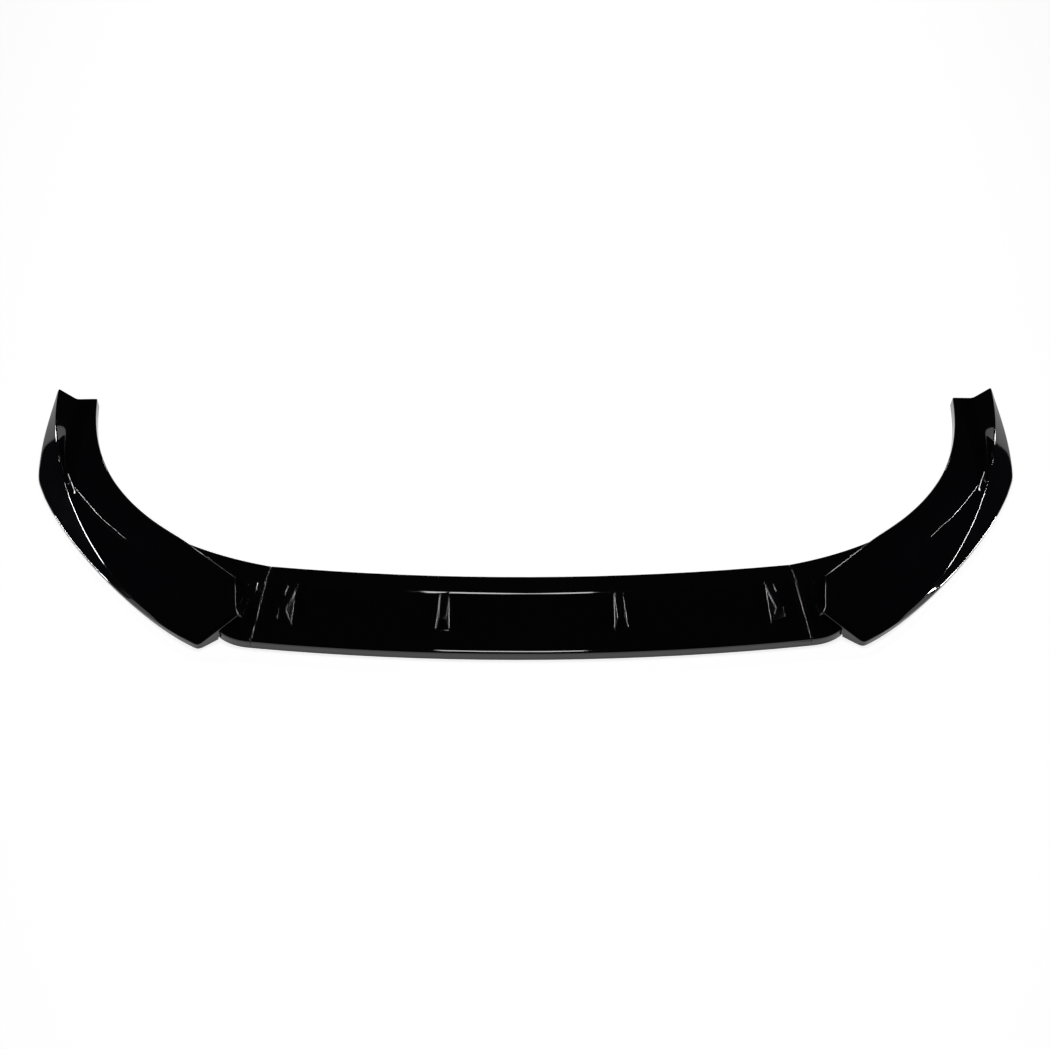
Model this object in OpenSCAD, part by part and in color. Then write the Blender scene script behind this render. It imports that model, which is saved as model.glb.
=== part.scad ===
// Front splitter lip for a passenger car: a moulded centre panel, two connecting
// panels and two corner winglets, fastened together underneath.
// +X is the lip's right seen from the front, -Y is the front and the lip stands on Z = 0.

/* [Overall] */
// Width over both winglets
overall_w = 1804; // [1760:4:1840]
// Depth from the front edge on the centre line to the winglets' rear ends
overall_d = 562; // [540:2:590]
// Wall of the moulded panels
wall = 3; // [2.5:0.25:3.5]
// Clearance between one part and the next
clearance = 0.3; // [0.2:0.05:0.4]

/* [Centre section] */
// Radius of the front edge in plan
plan_r = 4500; // [4200:50:5000]
// Distance from the centre line to the seam, at the front edge
seam_x = 489; // [470:1:500]
// Angle of the seam from the car's length
seam_angle = 13; // [10:0.5:15]
// Depth of the centre panel from front edge to rear edge
panel_d = 140; // [134:1:148]
// Depth of the level band at the rear
band_d = 36; // [30:1:42]
// Height of the level band
band_h = 51; // [47:0.5:56]
// Height of the front face
front_h = 19; // [16:0.5:22]
// Distance that the front face leans back
front_lean = 1.5; // [0.5:0.25:3]
// Setback of the rounded nose
nose_r = 5; // [3:0.5:7]
// Setback of the rounded crease in front of the band
crease_r = 3; // [2:0.5:6]

/* [Fins] */
// Distance of the inner fins from the centre line
fin_inner_x = 155; // [130:1:180]
// Distance of the outer fins from the centre line
fin_outer_x = 433; // [410:1:440]
// Turn of the inner fins in plan
fin_inner_angle = 3.5; // [0:0.5:8]
// Turn of the outer fins in plan
fin_outer_angle = 18; // [12:0.5:20]
// Width of a fin's top
fin_top_w = 14; // [11:0.5:17]
// Distance from the front edge to the top of a fin's face
fin_setback = 52; // [46:0.5:58]
// Slope of a fin's front face, measured along the fin
fin_face_run = 11.5; // [8:0.5:13]
// Spread of the inner fins' sides from top to foot
fin_inner_draft = 5; // [3:0.5:7]
// Spread of the outer fins' inner sides from top to foot
fin_outer_draft = 12; // [8:0.5:14]

/* [Connector] */
// Reach of the connector's rear edge beyond the seam
connector_reach = 157; // [148:1:166]
// Rise of the connector's rear edge towards the rear, over that reach
connector_sweep = 53; // [46:1:60]
// Reach of the connector's front edge beyond the seam
connector_front_reach = 88; // [82:1:94]
// Distance that the front edge turns back at its outer end
connector_turn = 57; // [52:1:62]
// Height of the rib's top at its front, under the winglet's corner
rib_h = 39; // [36:0.5:41]
// Turn of the rib in plan
rib_angle = 23; // [17:0.5:28]
// Width of the rib's top
rib_top_w = 10; // [8:0.5:12]

/* [Winglet] */
// Distance from the front edge to the widest point
corner_y = 390; // [375:1:410]
// Distance of the tip from the centre line
tip_x = 579; // [572:1:586]
// Distance of the tip behind the centre's front edge
tip_y = 24; // [20:1:30]
// Angle of the winglet's front edge at its tip, from the car's width
edge_angle = 23.5; // [20:0.5:27]
// Length of the wall that closes the winglet beside its tip
tip_wall = 40; // [30:1:41]
// Spacing of the points that round the winglet's corners
tip_round = 4; // [2:0.5:6]
// Width of the winglet across its rear end
rear_w = 66; // [56:1:76]
// Distance that the rear end lies inside the widest point
rear_inset = 28; // [20:1:34]
// Height of the winglet's inner flange at the rear
flange_h = 25; // [20:0.5:30]
// Height of the ridge at the rear end, before its edge is rounded
ridge_h = 56; // [50:0.5:62]
// Height of the ridge at the tip
tip_h = 18; // [15:0.5:21]
// Height of the thin outer edge
lip_h = 5; // [4:0.25:6]

/* [Seam bolts] */
// Radius of the bolts
bolt_r = 3; // [2.5:0.5:3]
// Width of the bolts' heads and nuts across their flats
bolt_flats = 10; // [9:0.5:10.5]
// Thickness of the bolts' heads
bolt_head_h = 4; // [3:0.25:4.5]
// Thickness of the nuts
nut_h = 5; // [4:0.25:5.5]
// Radius of the bolts' washers
bolt_washer_r = 6.2; // [6:0.1:6.6]
// Thickness of all washers
washer_t = 1.5; // [1:0.1:1.8]

/* [Winglet screws] */
// Radius of the screws
screw_r = 2.5; // [2:0.25:2.75]
// Radius of the screws' heads
screw_head_r = 4.5; // [4:0.25:5]
// Thickness of the screws' heads
screw_head_h = 3; // [2:0.25:3.5]
// Radius of the winglet's bosses
boss_r = 5.7; // [5.2:0.1:6]
// Radius of the connector's posts round the bosses
post_r = 10; // [9:0.25:11]

/* [Hidden] */

// Depth of the webs that hang from both panels at a seam
web_d = 30;
// Gap between the panels at a seam
seam_gap = 0.5;
// Height of a fin's top below the band, so that the two stay distinct
fin_drop = 0.4;
// Depth of a winglet's boss below the connector's surface
post_drop = wall + 5;
// Depth of a screw's bore in its boss
bore_depth = 10;
// Gap round a thread in its nut or boss
thread_gap = 0.05;
// Length of a bolt beyond its nut
bolt_end = 2;
// Bulge of the winglets' outline beyond its widest point
edge_bulge = 1;
// Gap between the winglet's skin and the surface that it rests over, beyond the clearance
lap_gap = 0.5;
// Sides of the round bolts, screws, washers, bosses and posts
sides = 48;

// General shapes
function unit(v) = v / norm(v);
function heading(a) = [cos(a), sin(a)];
function mix(a, b, t) = a + (b - a) * t;
function lift(p, z) = [p.x, p.y, z];
function plan(p) = [p.x, p.y];
function ease(t) = let (k = min(1, max(0, t))) k * k * (3 - 2 * k);
function reverse(list) = [for (i = [len(list) - 1:-1:0]) list[i]];
function bezier(a, b, c, d, t) =
    a * pow(1 - t, 3) + b * 3 * t * pow(1 - t, 2) + c * 3 * t * t * (1 - t) + d * pow(t, 3);

// Curve from a to d that leaves and arrives at the given headings
function sweep(a, leave, reach_a, d, arrive, reach_d, t) =
    bezier(a, a + heading(leave) * reach_a, d - heading(arrive) * reach_d, d, t);

// Rounded corner at p, between the directions of a and b
function soften(a, p, b, setback, n) =
    let (start = p + unit(a - p) * min(setback, 0.45 * norm(a - p)))
    let (stop = p + unit(b - p) * min(setback, 0.45 * norm(b - p)))
    [for (i = [0:n]) let (t = i / n) start * pow(1 - t, 2) + p * 2 * t * (1 - t) + stop * t * t];

// Line that runs inside a profile of [depth, height] points, at the given distance.
// It starts and ends level with the profile, or upright below it where that ends level.
function inset_end(a, w) = abs(a.y) > abs(a.x) ? [w / a.y, 0] : [0, -w / a.x];
function inset(path, w) =
    let (last = len(path) - 1)
    [for (i = [0:last])
        let (a = unit(path[max(i, 1)] - path[max(i, 1) - 1]))
        let (b = unit(path[min(i + 1, last)] - path[min(i, last - 1)]), n = unit([a.y + b.y, -a.x - b.x]))
        path[i] + (i == 0 || i == last ? inset_end(a, w) : n * w / (n * [a.y, -a.x]))];

// Profile of the front panels, from the foot of the front face to the rear edge
function profile(depth, band) =
    let (foot = [0, 0], nose = [front_lean, front_h], crease = [depth - band, band_h], back = [depth, band_h])
    concat([foot], soften(foot, nose, crease, nose_r, 5), soften(nose, crease, back, crease_r, 3), [back]);

// Plan of the centre section and its seam
plan_centre = [0, plan_r];
seam_front = [seam_x, plan_r - sqrt(pow(plan_r, 2) - pow(seam_x, 2))];
seam_dir = heading(90 + seam_angle);
seam_normal = heading(seam_angle);

// Distance along the seam at which it lies the given depth behind the front edge
function seam_reach(depth) =
    let (w = seam_front - plan_centre, b = w * seam_dir)
    -b - sqrt(b * b - w * w + pow(plan_r - depth, 2));

seam_len = seam_reach(panel_d);
seam_band = seam_len - seam_reach(panel_d - band_d);
seam_rear = seam_front + seam_dir * seam_len;

// Point behind the front edge at the given distance from the centre line
function behind_front(x, depth) = [x, plan_r - sqrt(pow(plan_r - depth, 2) - x * x)];

// Moves the part so that its box is centred on the origin
module place() { translate([0, -overall_d / 2, 0]) children(); }

module both_sides() { children(); mirror([1, 0, 0]) children(); }

// Frame of the right seam: X runs rearwards along it, Y up and Z outwards
module at_seam() {
    translate(lift(seam_front, 0)) rotate([90, 0, 90 + seam_angle]) children();
}

// Solid swept along the front edge from [depth, height] points
module swept(points) {
    reach = asin((seam_x + 40) / plan_r);
    translate(lift(plan_centre, 0)) rotate([0, 0, -90 - reach])
        rotate_extrude(angle = 2 * reach, $fn = 720) polygon([for (p = points) [plan_r - p.x, p.y]]);
}

// Web that hangs from a panel's end, on the seam's inner or outer side
module seam_web(side) {
    line = inset(profile(seam_len, seam_band), wall / 2);
    rear = seam_len - wall / 2;
    outline = concat([[line[1].x, wall]], [for (i = [1:len(line) - 2]) line[i]],
        [[rear, band_h - wall / 2], [rear, band_h - web_d]]);
    at_seam() translate([0, 0, side > 0 ? seam_gap / 2 : -seam_gap / 2 - wall])
        linear_extrude(wall) polygon(outline);
}

// Places for the seam's bolts, as [distance along the seam, height]
bolt_spots = [[42, front_h], [seam_len - 26, band_h - 18]];

// Everything beyond the seam gap, seen from the panel on the given side
module beyond_seam(side) {
    at_seam() translate([-50, -50, side > 0 ? seam_gap / 2 - 100 : -seam_gap / 2])
        cube([panel_d + 100, band_h + 100, 100]);
}

module seam_holes() {
    for (spot = bolt_spots)
        at_seam() translate([spot.x, spot.y, -4 * wall])
            cylinder(r = bolt_r + clearance, h = 8 * wall, $fn = sides);
}

// Wedge that rises from the sloping plate to the level of the band.
// spot is the middle of its top's front edge, and grow moves every face outwards.
// Its spreads are those at the given depth, below which it runs on into the plate.
wedge_depth = 34;
// Ends under the front third of the band
wedge_reach = panel_d - band_d + band_d / 3 - fin_setback;
spread_depth = 20;
module wedge(spot, angle, top_w, drop, spread_in, spread_out, grow) {
    tilt = wedge_depth / spread_depth;
    top = band_h - fin_drop + grow;
    half = top_w / 2 + grow;
    foot_in = half + spread_in * tilt;
    foot_out = half + spread_out * tilt;
    face = grow + fin_face_run * tilt;
    points = [
        [-wedge_reach, -half, top], [-wedge_reach, half, top],
        [grow, half, top - drop], [grow, -half, top - drop],
        [-wedge_reach, -foot_in, top - wedge_depth], [-wedge_reach, foot_out, top - wedge_depth],
        [face, foot_out, top - drop - wedge_depth], [face, -foot_in, top - drop - wedge_depth]];
    faces = [[0, 1, 2, 3], [7, 6, 5, 4], [0, 4, 5, 1], [1, 5, 6, 2], [2, 6, 7, 3], [3, 7, 4, 0]];
    translate(lift(spot, 0)) rotate([0, 0, angle - 90]) polyhedron(points, faces);
}

module centre_fins(grow) {
    both_sides() {
        wedge(behind_front(fin_inner_x, fin_setback), fin_inner_angle, fin_top_w, 0,
            fin_inner_draft, fin_inner_draft, grow);
        wedge(behind_front(fin_outer_x, fin_setback), fin_outer_angle, fin_top_w, 0,
            fin_outer_draft, 1, grow);
    }
}

module centre_panel() color("#0b0b0d") place() {
    outer = profile(panel_d, band_d);
    inner = inset(outer, wall);
    difference() {
        union() {
            swept(concat(outer, reverse(inner)));
            difference() {
                centre_fins(0);
                swept(concat(inset(outer, wall / 2), [[panel_d, -wall], [wall / 2, -wall]]));
            }
            both_sides() seam_web(-1);
        }
        centre_fins(-wall);
        both_sides() {
            beyond_seam(-1);
            seam_holes();
        }
    }
}

function quad(a, b, c, d) = [[a, b, c], [a, c, d]];

// Faces of a closed solid between two grids of rows x cols points
function shell_faces(rows, cols) =
    let (half = rows * cols)
    concat(
        [for (i = [0:rows - 2]) for (j = [0:cols - 2]) let (k = i * cols + j)
            each concat(quad(k, k + 1, k + cols + 1, k + cols),
                quad(half + k, half + k + cols, half + k + cols + 1, half + k + 1))],
        [for (i = [0:rows - 2]) let (k = i * cols, m = k + cols - 1)
            each concat(quad(k, k + cols, half + k + cols, half + k),
                quad(m, half + m, half + m + cols, m + cols))],
        [for (j = [0:cols - 2]) let (m = (rows - 1) * cols + j)
            each concat(quad(j, half + j, half + j + 1, j + 1),
                quad(m, m + 1, half + m + 1, half + m))]);

module between(upper, lower) {
    points = [for (g = [upper, lower]) for (row = g) for (p = row) p];
    polyhedron(points, shell_faces(len(upper), len(upper[0])));
}

// Triangle of a grid that lies over or under the given place in plan
function turn(a, b, p) = (b.x - a.x) * (p.y - a.y) - (b.y - a.y) * (p.x - a.x);
function holds(t, p) =
    let (s = [turn(t[0], t[1], p), turn(t[1], t[2], p), turn(t[2], t[0], p)]) min(s) >= 0 || max(s) <= 0;
function triangle_at(g, p) =
    [for (i = [0:len(g) - 2]) for (j = [0:len(g[i]) - 2])
        for (t = [[g[i][j], g[i][j + 1], g[i + 1][j + 1]], [g[i][j], g[i + 1][j + 1], g[i + 1][j]]])
            if (holds(t, p)) t][0];

// Everything above (1) or below (-1) the plane of a triangle
module beyond_plane(t, side) {
    n = unit(cross(t[1] - t[0], t[2] - t[0]));
    up = n.z > 0 ? n : -n;
    translate(t[0]) rotate([0, acos(up.z), atan2(up.y, up.x)])
        translate([-150, -150, side > 0 ? 0 : -150]) cube([300, 300, 150]);
}

// Connector: its two edges in plan run outwards from the seam
connector_front_start = seam_front + seam_normal * seam_gap / 2;
connector_rear_start = seam_rear + seam_normal * seam_gap / 2;
connector_front_end = connector_front_start + [connector_front_reach, connector_turn];
connector_rear_end = connector_rear_start + [connector_reach, connector_sweep];

function front_edge(s) = sweep(connector_front_start, 5, 55, connector_front_end, 45, 30, s);
function rear_edge(s) = sweep(connector_rear_start, 12, 56, connector_rear_end, 26, 56, s);
function connector_band(s) = mix(seam_band, band_d, s);
function crease_edge(s) =
    rear_edge(s) - unit(rear_edge(s) - front_edge(s)) * connector_band(s);

// Rib beside the seam, which ends under the winglet's corner
rib_front = seam_front + seam_dir * 43 + seam_normal * 32;
module rib(grow) {
    wedge(rib_front, rib_angle, rib_top_w, band_h - fin_drop - rib_h, fin_outer_draft, 1, grow);
}

connector_rows = 16;
function connector_grid(depth) =
    [for (i = [0:connector_rows])
        let (s = i / connector_rows, front = front_edge(s), rear = rear_edge(s))
        let (line = profile(norm(rear - front), connector_band(s)))
        [for (p = depth > 0 ? inset(line, depth) : line) lift(front + unit(rear - front) * p.x, p.y)]];

// Places for the winglet's screws, as shares along and across the connector
screw_shares = [[0.72, 0.84], [0.8, 0.42], [0.5, 0.3]];
function across(share) = mix(front_edge(share.x), rear_edge(share.x), share.y);
function surface_z(share) =
    let (depth = norm(rear_edge(share.x) - front_edge(share.x)))
    let (k = share.y * depth / (depth - connector_band(share.x)))
    mix(front_h, band_h, min(1, k));

// Puts the children at a screw, level with the foot of its boss
module at_screw(share) { translate(lift(across(share), surface_z(share) - post_drop)) children(); }
module at_screws() { for (share = screw_shares) at_screw(share) children(); }

module right_connector_body() {
    middle = connector_grid(wall / 2);
    difference() {
        union() {
            between(connector_grid(0), connector_grid(wall));
            difference() {
                rib(0);
                beyond_plane(triangle_at(middle, rib_front), -1);
                beyond_seam(1);
            }
            seam_web(1);
            for (share = screw_shares) difference() {
                at_screw(share) cylinder(r = post_r, h = 3 * post_drop, $fn = sides);
                beyond_plane(triangle_at(middle, across(share)), 1);
            }
        }
        difference() {
            rib(-wall);
            at_seam() linear_extrude(seam_gap / 2 + wall) square([panel_d + 50, band_h + 50]);
        }
        seam_holes();
        for (share = screw_shares)
            at_screw(share) translate([0, 0, -wall])
                cylinder(r = boss_r + clearance, h = 4 * post_drop, $fn = sides);
    }
}

module right_connector() color("#0b0b0d") place() right_connector_body();
module left_connector() color("#0b0b0d") place() mirror([1, 0, 0]) right_connector_body();

// Winglet: where its end lies on the connector
winglet_z = band_h + clearance + wall + lap_gap;
corner_a = rear_edge(0.97);
corner_b = crease_edge(0.335) - [0, 4];
corner_c = seam_front + seam_dir * 38.5 + seam_normal * 27;
corner_c_z = rib_h + clearance + wall + lap_gap;

// Its outline: the rear top, the widest point, the tip and the corner at the connector
rear_outer = [overall_w / 2 - rear_inset, overall_d];
rear_inner = rear_outer - [rear_w, 0];
widest = [overall_w / 2 - edge_bulge, corner_y];
tip = [tip_x, tip_y];
len_rear = norm(rear_outer - widest);
len_front = norm(widest - tip) + 10;
len_end = norm(corner_c - tip);

// Runs from 0 at the rear over 1 at the widest point and 2 at the tip to 3 at the connector
function span(w) =
    w < len_rear ? w / len_rear
    : w < len_rear + len_front ? 1 + (w - len_rear) / len_front
    : 2 + (w - len_rear - len_front) / len_end;

function outline(u) =
    u < 1 ? sweep(rear_outer + [3, 0], 284, 55, widest, 266, 70, u)
    : u < 2 ? sweep(tip, edge_angle, 104, widest, 74, 128, 2 - u)
    : mix(tip, corner_c, u - 2);

// Mean of the outline round w, which rounds its corners
function rounded_outline(w) =
    let (s = [for (k = [-2:2]) outline(min(3, max(0, span(w + k * tip_round))))])
    (s[0] + s[1] + s[2] + s[3] + s[4]) / 5;

// Inner edge, from 0 at the rear over 1 where it leaves the connector to 2 at the crease
function inner_edge(t) =
    t < 1 ? sweep(rear_inner, 270, 168, corner_a, 217, 135, t) : mix(corner_a, corner_b, t - 1);
function inner_partner(u) = lookup(u, [[0, 0], [0.5, 0.24], [1, 0.45], [1.7, 1], [2, 1.35], [3, 2]]);
function inner_z(t) = mix(flange_h, winglet_z, pow(min(t / 0.96, 1), 2));

// Ridge, given from 1 at the rear to 0 at the tip
ridge_start = tip + [0, 9];
function ridge_line(q) = sweep(ridge_start, edge_angle - 2, 159, rear_outer, 93.5, 214, q);
function ridge_partner(u) = lookup(u, [[0, 1], [1, 0.729], [1.4, 0.481], [2, 0]]);
function ridge_rise(q) =
    lookup(q, [[0, 0], [0.19, -0.07], [0.33, -0.12], [0.5, 0.16], [0.7, 0.53], [0.85, 0.78], [1, 1]]);
function ridge_z(q) =
    mix(tip_h, ridge_h, (ridge_rise(q - 0.05) + 2 * ridge_rise(q) + ridge_rise(q + 0.05)) / 4);
function ridge(u) =
    u < 2 ? lift(ridge_line(ridge_partner(u)), ridge_z(ridge_partner(u)))
    : mix(lift(ridge_start, tip_h), lift(corner_c + seam_dir * 6 + seam_normal * 8, corner_c_z + 5), u - 2);

// Outer edge's height, which rises towards the rear end
edge_rise = 1.2;
function edge_z(u) =
    u < 1 ? mix(lip_h, ridge_h - 6, pow(1 - u, edge_rise))
    : u < 2 ? mix(lip_h, tip_h - 4, ease((u - 1.62) / 0.3))
    : mix(tip_h - 4, corner_c_z, u - 2);

// Shoulder, where the winglet leaves the level of the band, as a share of its width
shoulder = 0.28;
function shoulder_level(u) = ease((u - 0.9) / 0.5);

// Foot of the wall that carries the ridge, given from 1 at the rear to 0 at its front end
foot_front = mix(inner_edge(0.84), outline(1.5), 0.47);
function foot_line(q) = sweep(foot_front, 49, 215, rear_outer - [28, 0], 96, 211, q);
function foot_partner(u) = lookup(u, [[0, 1], [1, 0.56], [1.5, 0]]);
function foot_z(u) = flange_h + lookup(u, [[0, -1], [1, 0], [1.3, 5], [1.5, 12]]);
function foot_fade(u) = ease((u - 1.35) / 0.35);

// Wall that hangs from the winglet's inner edge, and its end wall at the tip
function skirt_foot(t, z) = mix(0, z - wall - lap_gap, ease((t - 0.25) / 0.6));
function edge_foot(u, z) =
    u < 1 ? z - lip_h
    : (u - 2) * len_end < tip_wall ? 0
    : z - wall - lap_gap;

// Corners of the winglet's section: foot, inner edge, shoulder, hollow, ridge, outer edge and foot
function winglet_corners(w) =
    let (u = span(w), t = inner_partner(u))
    let (i = lift(inner_edge(t), inner_z(t)), r = ridge(u), e = lift(rounded_outline(w), edge_z(u)))
    let (line_z = mix(i.z, r.z, (0.5 - shoulder) / (1 - shoulder)))
    let (f_z = mix(foot_z(u), line_z, foot_fade(u)))
    let (f = lift(u < 1.5 ? foot_line(foot_partner(u)) : plan(mix(i, r, 0.5)), f_z))
    let (g = lift(mix(i, f, 0.55), mix(i.z, f.z, 0.55 * (1 - shoulder_level(u)))))
    [lift(i, skirt_foot(t, i.z)), i, g, f, r, e, lift(e, edge_foot(u, e.z))];

// Setbacks of the rounded corners, and the number of steps in each
winglet_setbacks = [0, 2, 14, 6, 3, 1.5];
winglet_steps = [0, 2, 3, 4, 3, 2];

// Section of the winglet, or the line inside it at the given depth
function winglet_section(w, depth) =
    let (c = winglet_corners(w), h = unit(plan(c[6] - c[0])))
    let (path = [for (p = c) [plan(p - c[0]) * h, p.z]])
    let (line = depth > 0 ? inset(path, depth) : path)
    let (q = [for (k = [0:6]) lift(plan(c[k]) + h * (line[k].x - path[k].x), line[k].y)])
    [q[0], for (k = [1:5]) each soften(q[k - 1], q[k], q[k + 1],
        k == 3 ? winglet_setbacks[k] : max(0.3, winglet_setbacks[k] - depth), winglet_steps[k]), q[6]];

winglet_stops = concat(
    [for (k = [0:0.14:0.85]) k * len_rear],
    [for (k = [-16, -10, -5, 0, 5, 10, 16, 24]) len_rear + k],
    [for (k = [1:13]) len_rear + 24 + (len_front - 48) * k / 14],
    [for (k = [-24, -16, -10, -5, 0, 5, 10, 16]) len_rear + len_front + k],
    [for (k = [24, tip_wall - 1, tip_wall + 1]) len_rear + len_front + k],
    [for (k = [1:4]) len_rear + len_front + tip_wall + 1 + (len_end - tip_wall - 1) * k / 4]);

function winglet_grid(depth) = [for (w = winglet_stops) winglet_section(w, depth)];

// Top of the winglet's skin, between its inner edge and its ridge
function top_of(g) = [for (row = g) [for (j = [3:13]) row[j]]];

module right_winglet_body() {
    middle = top_of(winglet_grid(wall / 2));
    difference() {
        union() {
            between(winglet_grid(0), winglet_grid(wall));
            for (share = screw_shares) difference() {
                at_screw(share) translate([0, 0, clearance])
                    cylinder(r = boss_r, h = 4 * post_drop, $fn = sides);
                beyond_plane(triangle_at(middle, across(share)), 1);
            }
        }
        at_screws() translate([0, 0, -1]) cylinder(r = screw_r + thread_gap, h = bore_depth + 1, $fn = sides);
    }
}
module right_winglet() color("#0b0b0d") place() right_winglet_body();
module left_winglet() color("#0b0b0d") place() mirror([1, 0, 0]) right_winglet_body();

// Hexagonal prism of the given width across its flats
module hexagon(flats, h) { cylinder(r = flats / 2 / cos(30), h = h, $fn = 6); }

// Puts the children at each bolt, on the centre panel's web, with Z pointing outwards
module at_bolts() place() both_sides() for (spot = bolt_spots)
    at_seam() translate([spot.x, spot.y, -seam_gap / 2 - wall]) children();

// Thickness of both webs with their gap
grip = 2 * wall + seam_gap;

module seam_bolts() color("#b9bcc0") at_bolts() {
    translate([0, 0, -washer_t - bolt_head_h]) {
        hexagon(bolt_flats, bolt_head_h);
        cylinder(r = bolt_r, h = bolt_head_h + 2 * washer_t + grip + nut_h + bolt_end, $fn = sides);
    }
}

module washer(r, hole) {
    difference() {
        cylinder(r = r, h = washer_t, $fn = sides);
        translate([0, 0, -1]) cylinder(r = hole, h = washer_t + 2, $fn = sides);
    }
}

module seam_washers() color("#b9bcc0") at_bolts() {
    translate([0, 0, -washer_t]) washer(bolt_washer_r, bolt_r + clearance);
    translate([0, 0, grip]) washer(bolt_washer_r, bolt_r + clearance);
}

module seam_nuts() color("#b9bcc0") at_bolts() translate([0, 0, grip + washer_t]) difference() {
    hexagon(bolt_flats, nut_h);
    translate([0, 0, -1]) cylinder(r = bolt_r + thread_gap, h = nut_h + 2, $fn = sides);
}

module winglet_washers() color("#b9bcc0") place() both_sides() at_screws()
    translate([0, 0, -washer_t]) washer(post_r - 1, screw_r + clearance);

module winglet_screws() color("#b9bcc0") place() both_sides() at_screws() {
    translate([0, 0, -washer_t - screw_head_h]) {
        cylinder(r = screw_head_r, h = screw_head_h, $fn = sides);
        cylinder(r = screw_r, h = screw_head_h + washer_t + bore_depth - 1, $fn = sides);
    }
}

centre_panel();
left_connector();
right_connector();
left_winglet();
right_winglet();
seam_bolts();
seam_washers();
seam_nuts();
winglet_screws();
winglet_washers();
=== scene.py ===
import math

import bpy
from bpy.props import FloatProperty, FloatVectorProperty, IntProperty, PointerProperty
from mathutils import Matrix, Vector


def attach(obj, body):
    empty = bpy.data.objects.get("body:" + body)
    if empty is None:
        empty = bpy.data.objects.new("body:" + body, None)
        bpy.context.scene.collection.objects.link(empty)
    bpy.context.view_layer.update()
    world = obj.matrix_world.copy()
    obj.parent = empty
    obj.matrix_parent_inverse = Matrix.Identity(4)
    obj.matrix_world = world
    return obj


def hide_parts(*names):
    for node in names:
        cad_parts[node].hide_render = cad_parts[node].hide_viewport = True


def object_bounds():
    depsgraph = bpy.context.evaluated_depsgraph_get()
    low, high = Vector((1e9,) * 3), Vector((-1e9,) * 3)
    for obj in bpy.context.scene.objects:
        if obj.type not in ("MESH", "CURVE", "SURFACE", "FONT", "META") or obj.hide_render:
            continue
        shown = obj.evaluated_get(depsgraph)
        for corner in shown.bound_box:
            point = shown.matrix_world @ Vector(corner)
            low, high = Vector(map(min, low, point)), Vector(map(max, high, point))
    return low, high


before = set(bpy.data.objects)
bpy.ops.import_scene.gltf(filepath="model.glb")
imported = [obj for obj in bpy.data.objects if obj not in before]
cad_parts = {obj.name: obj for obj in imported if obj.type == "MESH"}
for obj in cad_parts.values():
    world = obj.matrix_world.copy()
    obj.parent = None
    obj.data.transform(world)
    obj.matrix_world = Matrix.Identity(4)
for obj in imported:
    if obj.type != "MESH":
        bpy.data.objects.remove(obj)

bl_info = {
    "name": "Front Splitter Lip",
    "version": (1, 0, 0),
    "blender": (4, 5, 0),
    "location": "3D View > Sidebar > Splitter Lip",
    "description": "Finishes a gloss black front splitter lip and sets it in a plain studio",
    "category": "Object",
}

MM = 0.001
CAD_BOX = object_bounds()

# Names of the materials
ABS = "gloss_black_moulded_abs"
ZINC = "bright_zinc_plated_steel"

# Sizes of the patterns in the materials
HAZE_PATCH = 60 * MM
ERODED_GRAIN = 0.3 * MM
SHRINK_WAVE = 90 * MM
WAVE_HEIGHT = 0.05 * MM
GRAIN_HEIGHT = 0.04 * MM
ZINC_CLOUD = 2.5 * MM

# How a CAD mesh is put back together. Points closer than this are one point.
MERGE_DISTANCE = 0.02 * MM
# Two triangles that turn less than this, and whose corners come this near to square, make one
# four-sided face
QUAD_TURN = math.radians(35)
QUAD_SKEW = math.radians(89)
# Triangles that turn less than this are one flat face
FLAT_TURN = math.radians(0.15)

# A face belongs to the outer side if its normal points up by more than this
OUTER_NORMAL = 0.25
# An edge is a sliver, and isn't rounded, if it is shorter than this beside a smaller face than
# this
SLIVER_LENGTH = 1.2 * MM
SLIVER_AREA = 6 * MM * MM

# Plan of the fine crease line on the right winglet, in millimetres, from its rear
CREASE_PLAN = ((836, 89), (813, 57), (788, 25), (764, -3), (741, -26), (716, -52))
# Shares of its length over which it rises out of the skin and sinks back into it
CREASE_RISE = 0.08
CREASE_FALL = 0.85

# Point that the camera looks at, in the lip's frame
CAMERA_TARGET = Vector((-8.53, -12.16, 25)) * MM
SENSOR_WIDTH = 36  # millimetres

# The floor lies a little under the lip
FLOOR_HEIGHT = -0.3 * MM
# Distances in metres between which the floor's own light fades, well beyond the frame, and the
# share of it that is left
FLOOR_FADE = (1.9, 6.5)
FLOOR_DARK = 0.05

# Point that the lamps face
LAMP_AIM = Vector((0, 0, 0.03))
# A lamp's place, its width and height, all in metres, and its multiple of the lamp level
LAMPS = {
    "front_softbox": ((0, -1.78, 3.8), (0.75, 1.4), 1),
    "overhead_strip": ((0, 0.95, 3.0), (0.6, 0.65), 1),
    "rear_strip": ((0, 3.4, 2.0), (0.7, 0.3), 2),
}
# The same for the lamps that stand on both sides and are flagged off the floor.
# They draw the bright lines on the rounded edges.
SIDE_LAMPS = {
    "side_strip": ((3.5, 0.8, 1.38), (2.4, 0.22), 8),
    "floor_strip": ((3.4, -0.2, 0.14), (0.9, 0.14), 12),
}


def linear(hex_colour):
    """Linear RGBA of an sRGB hex colour."""
    parts = [int(hex_colour[i:i + 2], 16) / 255 for i in (1, 3, 5)]
    return [p / 12.92 if p <= 0.04045 else ((p + 0.055) / 1.055) ** 2.4 for p in parts] + [1.0]


# Sizes, finishes and studio settings

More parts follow.
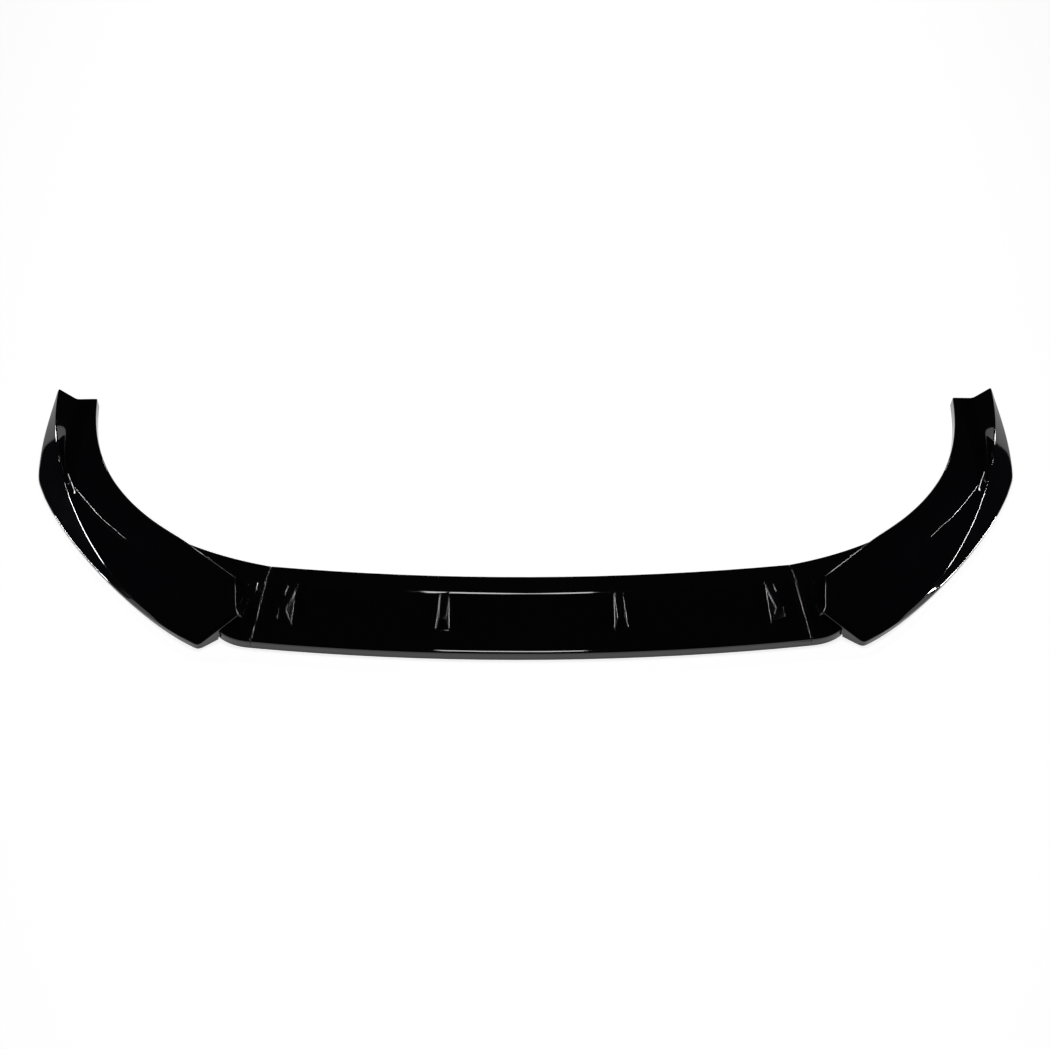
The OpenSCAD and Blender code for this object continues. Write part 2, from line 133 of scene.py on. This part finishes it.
class LipSizes(bpy.types.PropertyGroup):
    """Sizes of the finishing that the mouldings get."""
    edge_round: FloatProperty(
        name="Edge rounding", description="Setback of a moulding's rounded edges",
        default=1.6 * MM, min=0.1 * MM, max=2 * MM, unit="LENGTH")
    edge_steps: IntProperty(
        name="Edge steps", description="Facets across a rounded edge",
        default=3, min=1, max=6)
    edge_angle: FloatProperty(
        name="Edge angle", description="Turn from which an edge is rounded as a corner",
        default=math.radians(28), subtype="ANGLE")
    crease_angle: FloatProperty(
        name="Crease angle", description="Turn from which an edge of a smoothed skin stays sharp",
        default=math.radians(42), subtype="ANGLE")
    shade_angle: FloatProperty(
        name="Shading angle", description="Turn up to which faces are shaded as one",
        default=math.radians(32), subtype="ANGLE")
    smooth_levels: IntProperty(
        name="Smoothing", description="Subdivision of the curved skins",
        default=2, min=0, max=2)
    line_radius: FloatProperty(
        name="Line radius", description="Radius of the fine crease line's rounded top",
        default=2.2 * MM, min=0.5 * MM, max=3 * MM, unit="LENGTH")
    line_proud: FloatProperty(
        name="Line height", description="How far the crease line stands out of the winglet",
        default=0.75 * MM, min=0.1 * MM, max=1 * MM, unit="LENGTH")


class LipFinish(bpy.types.PropertyGroup):
    """Colours and gloss of the lip's materials."""
    abs_colour: FloatVectorProperty(
        name="ABS colour", description="Colour of the moulded panels",
        default=linear("#020203")[:3], size=3, min=0, max=1, subtype="COLOR")
    abs_roughness: FloatProperty(
        name="ABS roughness", description="Roughness of the polished side of the mouldings",
        default=0.04, min=0, max=1, subtype="FACTOR")
    core_roughness: FloatProperty(
        name="Inside roughness", description="Roughness of the mouldings' unpolished inside",
        default=0.38, min=0, max=1, subtype="FACTOR")
    zinc_roughness: FloatProperty(
        name="Zinc roughness", description="Roughness of the plated fasteners",
        default=0.3, min=0, max=1, subtype="FACTOR")


class LipStudio(bpy.types.PropertyGroup):
    """The camera, the lamps and the floor."""
    elevation: FloatProperty(
        name="Elevation", description="Camera's height as an angle above the floor",
        default=math.radians(55), subtype="ANGLE")
    azimuth: FloatProperty(
        name="Azimuth", description="Camera's turn round the lip, from its front",
        default=math.radians(-2.324), subtype="ANGLE")
    roll: FloatProperty(
        name="Roll", description="Camera's turn about its own axis",
        default=math.radians(1.741), subtype="ANGLE")
    distance: FloatProperty(
        name="Distance", description="From the camera to its target",
        default=3.6092, unit="LENGTH")
    lens: FloatProperty(
        name="Lens", description="Focal length in millimetres",
        default=68.571, unit="CAMERA")
    lamp_level: FloatProperty(
        name="Lamp level", description="Radiance of the soft lamps", default=12, min=0)
    floor_size: FloatProperty(
        name="Floor size", description="Side of the square floor", default=14, unit="LENGTH")
    floor_fill: FloatProperty(
        name="Floor fill", description="Light that the white floor gives by itself",
        default=0.68, min=0, max=1, subtype="FACTOR")
    surroundings: FloatProperty(
        name="Surroundings", description="Light of the dark studio round the floor",
        default=0.01, min=0, max=1, subtype="FACTOR")


# General helpers

def pick(piece):
    """Selects only this piece."""
    bpy.ops.object.select_all(action="DESELECT")
    piece.select_set(True)
    bpy.context.view_layer.objects.active = piece


def coat(piece, material):
    """Gives the piece this material alone."""
    piece.data.materials.clear()
    piece.data.materials.append(material)


def settle(piece):
    """Makes a finished piece ride on the lip."""
    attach(piece, "root")


def mirrored(piece, name):
    """Copy of a piece for the lip's other side, with a mesh of its own."""
    pick(piece)
    bpy.ops.object.duplicate()
    other = bpy.context.object
    other.name = name
    bpy.ops.object.mode_set(mode="EDIT")
    bpy.ops.mesh.select_all(action="SELECT")
    bpy.ops.transform.resize(value=(-1, 1, 1), center_override=(0, 0, 0))
    bpy.ops.mesh.flip_normals()
    bpy.ops.object.mode_set(mode="OBJECT")
    return other


# Materials

def add_node(tree, kind, settings=None, **links):
    """Adds a node with its settings. Each link names one of its inputs, or gives the input's
    number after an underscore, and its value is another node's socket or a constant."""
    node = tree.nodes.new(kind)
    for name, value in (settings or {}).items():
        setattr(node, name, value)
    for name, value in links.items():
        key = int(name[1:]) if name[0] == "_" and name[1:].isdigit() else name.replace("_", " ")
        if isinstance(value, bpy.types.NodeSocket):
            tree.links.new(value, node.inputs[key])
        else:
            node.inputs[key].default_value = value
    return node


def new_material(name):
    """Material without any nodes yet, and its node tree."""
    material = bpy.data.materials.new(name)
    material.use_nodes = True
    material.node_tree.nodes.clear()
    return material, material.node_tree


def gloss_black_abs():
    """Injection-moulded ABS, polished to a deep black gloss on the mould's cavity side.
    The eye sees sharp reflections on near-black, with a faint slow waviness from the
    plastic's shrinkage and a duller, finely eroded inside where the mould isn't polished."""
    finish = bpy.context.scene.lip_finish
    material, tree = new_material(ABS)
    place = add_node(tree, "ShaderNodeTexCoord").outputs["Object"]
    facing = add_node(tree, "ShaderNodeNewGeometry").outputs["Normal"]
    height = add_node(tree, "ShaderNodeSeparateXYZ", Vector=facing).outputs["Z"]
    # The inside is what faces down
    inside = add_node(tree, "ShaderNodeMapRange", {"clamp": True}, Value=height,
                      From_Min=-0.05, From_Max=-0.2, To_Min=0.0, To_Max=1.0).outputs["Result"]
    # Haze of handling and packing, in patches
    haze = add_node(tree, "ShaderNodeTexNoise", Vector=place, Scale=1 / HAZE_PATCH, Detail=5.0,
                    Roughness=0.6).outputs["Fac"]
    polished = add_node(tree, "ShaderNodeMapRange", Value=haze, From_Min=0.3, From_Max=0.8,
                        To_Min=finish.abs_roughness * 0.7,
                        To_Max=finish.abs_roughness * 1.5).outputs["Result"]
    # Fine grain of the spark-eroded inside
    grain = add_node(tree, "ShaderNodeTexNoise", Vector=place, Scale=1 / ERODED_GRAIN,
                     Detail=2.0).outputs["Fac"]
    eroded = add_node(tree, "ShaderNodeMapRange", Value=grain, From_Min=0.2, From_Max=0.8,
                      To_Min=finish.core_roughness - 0.06,
                      To_Max=finish.core_roughness + 0.06).outputs["Result"]
    # Inputs 2 and 3 of the number mix are its two numbers, and output 0 is its result
    rough = add_node(tree, "ShaderNodeMix", {"data_type": "FLOAT"}, Factor=inside,
                     _2=polished, _3=eroded).outputs[0]
    # Waviness of shrinkage, a few hundredths of a millimetre high
    wave = add_node(tree, "ShaderNodeTexNoise", Vector=place, Scale=1 / SHRINK_WAVE,
                    Detail=1.0).outputs["Fac"]
    wavy = add_node(tree, "ShaderNodeBump", Height=wave, Strength=1.0,
                    Distance=WAVE_HEIGHT).outputs["Normal"]
    bumpy = add_node(tree, "ShaderNodeMath", {"operation": "MULTIPLY"}, _0=inside,
                     _1=grain).outputs[0]
    normal = add_node(tree, "ShaderNodeBump", Height=bumpy, Strength=0.6, Distance=GRAIN_HEIGHT,
                      Normal=wavy).outputs["Normal"]
    shader = add_node(tree, "ShaderNodeBsdfPrincipled", Base_Color=[*finish.abs_colour, 1],
                      IOR=1.53, Roughness=rough, Normal=normal)
    add_node(tree, "ShaderNodeOutputMaterial", Surface=shader.outputs[0])


def zinc_plated_steel():
    """Bright zinc on turned and headed steel. The eye sees a light blue-grey metal with a
    soft, slightly cloudy gloss."""
    finish = bpy.context.scene.lip_finish
    _, tree = new_material(ZINC)
    place = add_node(tree, "ShaderNodeTexCoord").outputs["Object"]
    cloud = add_node(tree, "ShaderNodeTexNoise", Vector=place, Scale=1 / ZINC_CLOUD,
                     Detail=4.0).outputs["Fac"]
    rough = add_node(tree, "ShaderNodeMapRange", Value=cloud, From_Min=0.3, From_Max=0.7,
                     To_Min=finish.zinc_roughness - 0.06,
                     To_Max=finish.zinc_roughness + 0.08).outputs["Result"]
    # Inputs 6 and 7 of the colour mix are its two colours, and output 2 is its result
    tint = add_node(tree, "ShaderNodeMix", {"data_type": "RGBA"}, Factor=cloud,
                    _6=linear("#BFC3C9"), _7=linear("#D2D4D6")).outputs[2]
    shader = add_node(tree, "ShaderNodeBsdfPrincipled", Metallic=1.0, Roughness=rough,
                      Base_Color=tint)
    add_node(tree, "ShaderNodeOutputMaterial", Surface=shader.outputs[0])


def white_floor():
    """Matt white studio paper. It gives camera, mirror and glass rays light of its own, so it
    reads as white, and keeps the lip's shadow."""
    studio = bpy.context.scene.lip_studio
    material, tree = new_material("matt_white_paper")
    path = add_node(tree, "ShaderNodeLightPath")
    seen = add_node(tree, "ShaderNodeMath", {"operation": "MAXIMUM"},
                    _0=path.outputs["Is Camera Ray"], _1=path.outputs["Is Glossy Ray"]).outputs[0]
    seen = add_node(tree, "ShaderNodeMath", {"operation": "MAXIMUM"}, _0=seen,
                    _1=path.outputs["Is Transmission Ray"]).outputs[0]
    # Its light fades outwards into the dark studio
    place = add_node(tree, "ShaderNodeTexCoord").outputs["Object"]
    off = add_node(tree, "ShaderNodeVectorMath", {"operation": "LENGTH"},
                   _0=place).outputs["Value"]
    fill = add_node(tree, "ShaderNodeMapRange", {"interpolation_type": "SMOOTHSTEP"}, Value=off,
                    From_Min=FLOOR_FADE[0], From_Max=FLOOR_FADE[1], To_Min=studio.floor_fill,
                    To_Max=studio.floor_fill * FLOOR_DARK).outputs["Result"]
    strength = add_node(tree, "ShaderNodeMath", {"operation": "MULTIPLY"}, _0=seen,
                        _1=fill).outputs[0]
    paper = add_node(tree, "ShaderNodeBsdfDiffuse", Color=linear("#F2F2F2"))
    glow = add_node(tree, "ShaderNodeEmission", Color=linear("#FFFFFF"), Strength=strength)
    both = add_node(tree, "ShaderNodeAddShader", _0=paper.outputs[0], _1=glow.outputs[0])
    add_node(tree, "ShaderNodeOutputMaterial", Surface=both.outputs[0])
    return material


# Mouldings

def moulding(node, name, lofted):
    """Merged copy of a CAD panel, as a piece of its own. A lofted skin gets its four-sided
    faces back, and any other panel gets its flat faces whole."""
    piece = bpy.data.objects.new(name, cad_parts[node].data.copy())
    bpy.context.collection.objects.link(piece)
    pick(piece)
    bpy.ops.object.mode_set(mode="EDIT")
    bpy.ops.mesh.select_all(action="SELECT")
    bpy.ops.mesh.remove_doubles(threshold=MERGE_DISTANCE)
    if lofted:
        bpy.ops.mesh.tris_convert_to_quads(face_threshold=QUAD_TURN, shape_threshold=QUAD_SKEW)
    else:
        bpy.ops.mesh.dissolve_limited(angle_limit=FLAT_TURN)
    bpy.ops.mesh.select_all(action="DESELECT")
    bpy.ops.object.mode_set(mode="OBJECT")
    return piece


def outer_corners(piece, angle):
    """Edges where the piece's outer side turns by more than the angle, slivers left out."""
    mesh = piece.data
    sides = {}
    for face in mesh.polygons:
        for key in face.edge_keys:
            sides.setdefault(key, []).append(face)
    found = []
    for edge in mesh.edges:
        faces = sides.get(edge.key, ())
        if len(faces) != 2:
            continue
        a, b = (mesh.vertices[index].co for index in edge.vertices)
        small = (min(face.area for face in faces) < SLIVER_AREA
                 and (a - b).length < SLIVER_LENGTH)
        outer = max(face.normal.z for face in faces) > OUTER_NORMAL
        if outer and not small and faces[0].normal.angle(faces[1].normal, 0) > angle:
            found.append(edge)
    return found


def keep_below(piece, top):
    """Lowers a smoothed skin by the trace of a millimetre that its ridge swelled."""
    height = max(vertex.co.z for vertex in piece.data.vertices)
    if height > top:
        bpy.ops.object.mode_set(mode="EDIT")
        bpy.ops.mesh.select_all(action="SELECT")
        bpy.ops.transform.resize(value=(1, 1, top / height), center_override=(0, 0, 0))
        bpy.ops.object.mode_set(mode="OBJECT")


def finish_edges(piece, lofted):
    """Rounds the corners of the piece's outer side, smooths a lofted skin between them and
    shades the piece smooth."""
    sizes = bpy.context.scene.lip_sizes
    for edge in outer_corners(piece, sizes.edge_angle):
        edge.select = True
    pick(piece)
    bpy.ops.object.mode_set(mode="EDIT")
    bpy.ops.mesh.select_mode(type="EDGE")
    bpy.ops.mesh.bevel(offset=sizes.edge_round, segments=sizes.edge_steps, affect="EDGES",
                       clamp_overlap=False, miter_outer="ARC")
    if lofted:
        bpy.ops.mesh.select_all(action="DESELECT")
        bpy.ops.mesh.edges_select_sharp(sharpness=sizes.crease_angle)
        bpy.ops.transform.edge_crease(value=1)
        bpy.ops.object.mode_set(mode="OBJECT")
        skin = piece.modifiers.new("smooth_skin", "SUBSURF")
        skin.levels = skin.render_levels = sizes.smooth_levels
        bpy.ops.object.modifier_apply(modifier=skin.name)
        keep_below(piece, CAD_BOX[1][2])
    else:
        bpy.ops.mesh.select_all(action="SELECT")
        bpy.ops.mesh.quads_convert_to_tris(quad_method="BEAUTY", ngon_method="BEAUTY")
        bpy.ops.object.mode_set(mode="OBJECT")
    bpy.ops.object.shade_smooth_by_angle(angle=sizes.shade_angle)
    even = piece.modifiers.new("even_shading", "WEIGHTED_NORMAL")
    even.keep_sharp = True
    bpy.ops.object.modifier_apply(modifier=even.name)


def finish_pair(kind):
    """Finishes the right panel of a kind and mirrors it for the left."""
    right = moulding(f"right_{kind}", f"right_{kind}_moulding", lofted=True)
    finish_edges(right, lofted=True)
    coat(right, bpy.data.materials[ABS])
    left = mirrored(right, f"left_{kind}_moulding")
    for piece, node in ((right, f"right_{kind}"), (left, f"left_{kind}")):
        settle(piece)
        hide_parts(node)


class LIP_OT_centre_panel(bpy.types.Operator):
    """Finish the centre panel with its fins"""
    bl_idname = "lip.centre_panel"
    bl_label = "Centre Panel"

    def execute(self, context):
        piece = moulding("centre_panel", "centre_panel_moulding", lofted=False)
        finish_edges(piece, lofted=False)
        coat(piece, bpy.data.materials[ABS])
        settle(piece)
        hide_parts("centre_panel")
        return {"FINISHED"}


class LIP_OT_connectors(bpy.types.Operator):
    """Finish the two connecting panels"""
    bl_idname = "lip.connectors"
    bl_label = "Connecting Panels"

    def execute(self, context):
        finish_pair("connector")
        return {"FINISHED"}


class LIP_OT_winglets(bpy.types.Operator):
    """Finish the two corner winglets"""
    bl_idname = "lip.winglets"
    bl_label = "Corner Winglets"

    def execute(self, context):
        finish_pair("winglet")
        return {"FINISHED"}


def line_on_skin(name, plan, skin):
    """Line through the points of a plan, laid down onto the top of a skin."""
    above = 100 * MM
    bpy.ops.object.select_all(action="DESELECT")
    bpy.ops.curve.primitive_bezier_curve_add(location=(0, 0, 0))
    line = bpy.context.object
    line.name = name
    spline = line.data.splines[0]
    spline.bezier_points.add(len(plan) - 2)
    for point, (x, y) in zip(spline.bezier_points, plan):
        point.co = (x * MM, y * MM, above)
        point.handle_left_type = point.handle_right_type = "AUTO"
    line.data.resolution_u = 8
    bpy.ops.object.convert(target="MESH")
    wrap = line.modifiers.new("onto_the_skin", "SHRINKWRAP")
    wrap.target = skin
    wrap.wrap_method = "PROJECT"
    wrap.use_project_z = True
    wrap.use_negative_direction = True
    wrap.use_positive_direction = False
    bpy.ops.object.modifier_apply(modifier=wrap.name)
    return line


class LIP_OT_crease_lines(bpy.types.Operator):
    """Add the fine crease line that runs from each ridge onto the winglet's plate"""
    bl_idname = "lip.crease_lines"
    bl_label = "Crease Lines"

    def execute(self, context):
        sizes = context.scene.lip_sizes
        line = line_on_skin("right_crease_line", CREASE_PLAN,
                            bpy.data.objects["right_winglet_moulding"])
        for vertex in line.data.vertices:
            vertex.co.z -= sizes.line_radius - sizes.line_proud
        bpy.ops.object.convert(target="CURVE")
        line.data.bevel_depth = sizes.line_radius
        line.data.bevel_resolution = 4
        line.data.use_fill_caps = True
        # A thinner stretch stands out less, and the ends lie level with the skin
        points = line.data.splines[0].points
        sunk = 1 - sizes.line_proud / sizes.line_radius
        rear_first = points[0].co.y > points[-1].co.y
        for index, point in enumerate(points):
            along = index / (len(points) - 1)
            along = along if rear_first else 1 - along
            full = min(1, along / CREASE_RISE, (1 - along) / CREASE_FALL)
            point.radius = sunk + (1 - sunk) * full
        bpy.ops.object.convert(target="MESH")
        bpy.ops.object.shade_smooth()
        coat(line, bpy.data.materials[ABS])
        settle(line)
        settle(mirrored(line, "left_crease_line"))
        return {"FINISHED"}


class LIP_OT_fasteners(bpy.types.Operator):
    """Give the CAD fasteners and panels their materials"""
    bl_idname = "lip.fasteners"
    bl_label = "Fasteners"

    def execute(self, context):
        for name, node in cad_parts.items():
            metal = name.startswith(("seam_", "winglet_"))
            coat(node, bpy.data.materials[ZINC if metal else ABS])
        return {"FINISHED"}


# Studio

def soft_lamp(name, place, size, level):
    """Rectangular lamp of this radiance that faces the lip and that the camera doesn't see."""
    light = bpy.data.lights.new(name, "AREA")
    light.shape = "RECTANGLE"
    light.size, light.size_y = size
    # Watts that give a flat lamp of this size its radiance
    light.energy = level * math.pi * size[0] * size[1]
    lamp = bpy.data.objects.new(name, light)
    lamp.location = place
    lamp.rotation_euler = (LAMP_AIM - Vector(place)).to_track_quat("-Z", "Y").to_euler()
    lamp.visible_camera = False
    bpy.context.collection.objects.link(lamp)
    return lamp


def studio_camera(studio):
    """Camera at the photograph's viewing angle."""
    turn, rise, roll = studio.azimuth, studio.elevation, studio.roll
    back = Vector((math.sin(turn) * math.cos(rise), -math.cos(turn) * math.cos(rise),
                   math.sin(rise)))
    right = (-back).cross(Vector((0, 0, 1))).normalized()
    up = right.cross(-back)
    across = right * math.cos(roll) + up * math.sin(roll)
    upward = up * math.cos(roll) - right * math.sin(roll)
    lens = bpy.data.cameras.new("studio_camera")
    lens.lens = studio.lens
    lens.sensor_width = SENSOR_WIDTH
    camera = bpy.data.objects.new("studio_camera", lens)
    camera.matrix_world = Matrix((across, upward, back)).transposed().to_4x4()
    camera.location = CAMERA_TARGET + back * studio.distance
    bpy.context.collection.objects.link(camera)
    return camera


class LIP_OT_stage(bpy.types.Operator):
    """Add the floor, the lamps, the surroundings and the camera"""
    bl_idname = "lip.stage"
    bl_label = "Studio"

    def execute(self, context):
        studio = context.scene.lip_studio
        bpy.ops.object.select_all(action="DESELECT")
        bpy.ops.mesh.primitive_plane_add(size=studio.floor_size, location=(0, 0, FLOOR_HEIGHT))
        floor = context.object
        floor.name = "studio_floor"
        bpy.ops.object.transform_apply(location=True, rotation=True, scale=True)
        coat(floor, white_floor())

        for name, (place, size, gain) in LAMPS.items():
            soft_lamp(name, place, size, studio.lamp_level * gain)
        flag = bpy.data.collections.new("flagged_off_the_floor")
        flag.objects.link(floor)
        flag.collection_objects[0].light_linking.link_state = "EXCLUDE"
        for side in (-1, 1):
            for name, ((x, y, z), size, gain) in SIDE_LAMPS.items():
                strip = soft_lamp(name, (side * x, y, z), size, studio.lamp_level * gain)
                strip.light_linking.receiver_collection = flag

        world = bpy.data.worlds.new("dark_studio")
        world.use_nodes = True
        context.scene.world = world
        backdrop = world.node_tree.nodes["Background"]
        backdrop.inputs["Color"].default_value = linear("#FFFFFF")
        backdrop.inputs["Strength"].default_value = studio.surroundings
        context.scene.camera = studio_camera(studio)
        context.scene.view_settings.view_transform = "Standard"
        return {"FINISHED"}


class LIP_PT_panel(bpy.types.Panel):
    """Lists the lip's pieces and settings"""
    bl_idname = "LIP_PT_panel"
    bl_label = "Splitter Lip"
    bl_space_type = "VIEW_3D"
    bl_region_type = "UI"
    bl_category = "Splitter Lip"

    def draw(self, context):
        scene = context.scene
        for group in (scene.lip_sizes, scene.lip_finish, scene.lip_studio):
            box = self.layout.box()
            for name in group.__annotations__:
                box.prop(group, name)
        for operator in OPERATORS:
            self.layout.operator(operator.bl_idname)


OPERATORS = (LIP_OT_centre_panel, LIP_OT_connectors, LIP_OT_winglets, LIP_OT_crease_lines,
             LIP_OT_fasteners, LIP_OT_stage)
CLASSES = (LipSizes, LipFinish, LipStudio, *OPERATORS, LIP_PT_panel)


def register():
    for cls in CLASSES:
        bpy.utils.register_class(cls)
    bpy.types.Scene.lip_sizes = PointerProperty(type=LipSizes)
    bpy.types.Scene.lip_finish = PointerProperty(type=LipFinish)
    bpy.types.Scene.lip_studio = PointerProperty(type=LipStudio)


def unregister():
    del bpy.types.Scene.lip_studio
    del bpy.types.Scene.lip_finish
    del bpy.types.Scene.lip_sizes
    for cls in reversed(CLASSES):
        bpy.utils.unregister_class(cls)


def main():
    register()
    gloss_black_abs()
    zinc_plated_steel()
    bpy.ops.lip.centre_panel()
    bpy.ops.lip.connectors()
    bpy.ops.lip.winglets()
    bpy.ops.lip.crease_lines()
    bpy.ops.lip.fasteners()
    bpy.ops.lip.stage()


if __name__ == "__main__":
    main()
